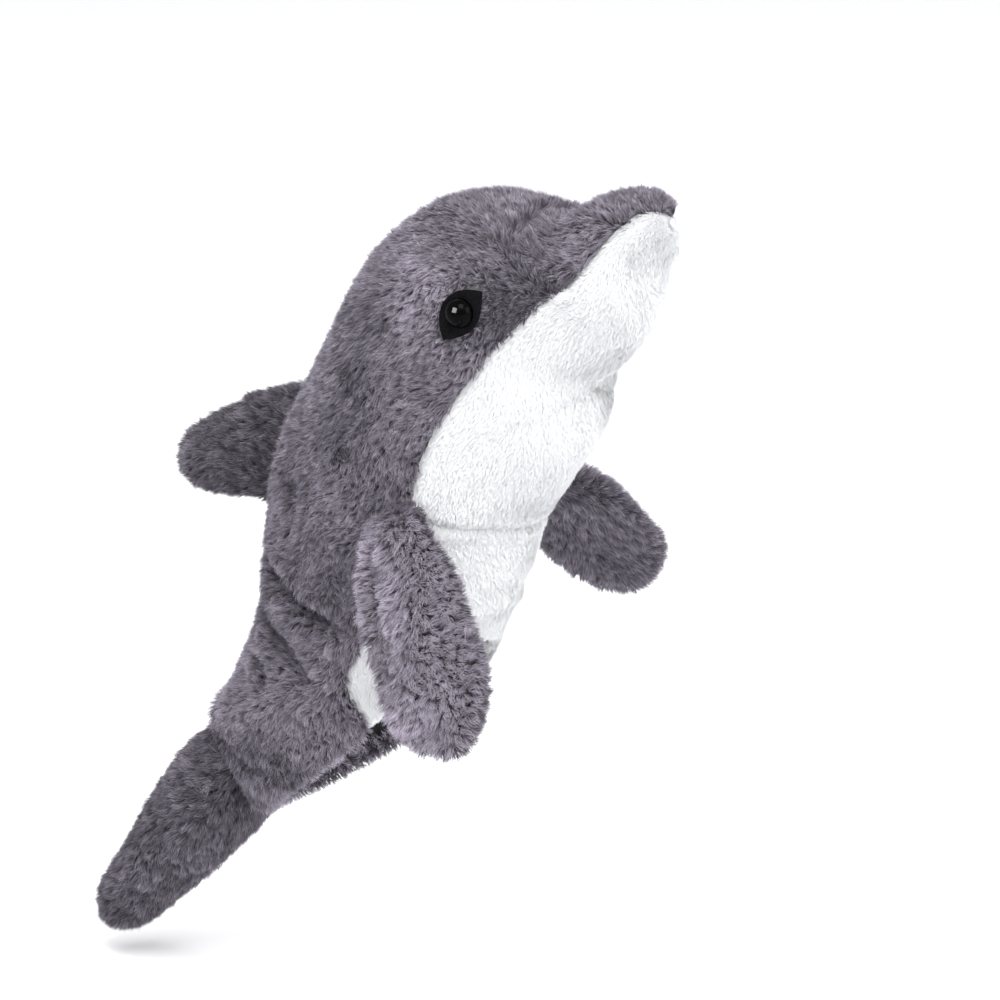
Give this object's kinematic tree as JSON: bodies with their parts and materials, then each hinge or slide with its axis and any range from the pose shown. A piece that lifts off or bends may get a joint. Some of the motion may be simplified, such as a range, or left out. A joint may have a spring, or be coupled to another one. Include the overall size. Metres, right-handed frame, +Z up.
{
  "type": "driver head cover",
  "caption": "Plush dolphin sock with a lined pocket and open mouth that slips over a driver head; stuffed head, two flippers, back fin and tail sewn on.",
  "frame": {"origin": "middle of the flat closed end of the pocket, where the club head comes to rest", "axes": "+X the way the dolphin faces, +Y towards its left side, +Z up; the XZ plane is the body's mirror plane"},
  "size_m": [0.356, 0.3046, 0.4461],
  "materials": {
    "grey_fur": "brushed long-pile plush",
    "white_fur": "brushed short-pile plush",
    "fill": "polyester fibre filling",
    "lining": "matte knitted lining",
    "elastic": "woven elastic",
    "felt": "matte felt",
    "eye_plastic": "polished",
    "washer_plastic": "moulded"
  },
  "bodies": {
    "body": {"side_panel_right": "grey_fur", "side_panel_left": "grey_fur", "beak_panel": "grey_fur", "chin_panel": "white_fur", "belly_panel": "white_fur", "head_stuffing": "fill", "pocket_lining": "lining", "hem_elastic": "elastic", "eye_patch_right": "felt", "eye_patch_left": "felt", "eye_right": "eye_plastic", "eye_left": "eye_plastic", "eye_washer_right": "washer_plastic", "eye_washer_left": "washer_plastic"},
    "tail": {"tail_upper_panel": "grey_fur", "tail_lower_panel": "grey_fur", "tail_stuffing": "fill"},
    "dorsal_fin": {"dorsal_fin_panel_right": "grey_fur", "dorsal_fin_panel_left": "grey_fur", "dorsal_fin_stuffing": "fill"},
    "flipper_right": {"flipper_right_outer_panel": "grey_fur", "flipper_right_inner_panel": "grey_fur", "flipper_right_stuffing": "fill"},
    "flipper_left": {"flipper_left_outer_panel": "grey_fur", "flipper_left_inner_panel": "grey_fur", "flipper_left_stuffing": "fill"}
  },
  "joints": [
    {"name": "tail_bend", "type": "hinge", "parent": "body", "child": "tail", "pos_m": [-0.1255, 0, -0.1944], "axis": [0, 1, 0], "range_deg": [0, 12], "stiffness_Nm_per_rad": 1.5},
    {"name": "dorsal_fin_bend", "type": "hinge", "parent": "body", "child": "dorsal_fin", "pos_m": [-0.09393, 0, -0.01518], "axis": [0.2608, 0, 0.9654], "range_deg": [-18, 18], "stiffness_Nm_per_rad": 0.4},
    {"name": "flipper_right_lift", "type": "hinge", "parent": "body", "child": "flipper_right", "pos_m": [0.00707, -0.06928, -0.02449], "axis": [-0.8098, -0.1012, -0.5779], "range_deg": [0, 60], "stiffness_Nm_per_rad": 0.4},
    {"name": "flipper_left_lift", "type": "hinge", "parent": "body", "child": "flipper_left", "pos_m": [0.01082, 0.06858, -0.02384], "axis": [0.8651, -0.1593, 0.4757], "range_deg": [-30, 30], "stiffness_Nm_per_rad": 0.4}
  ]
}
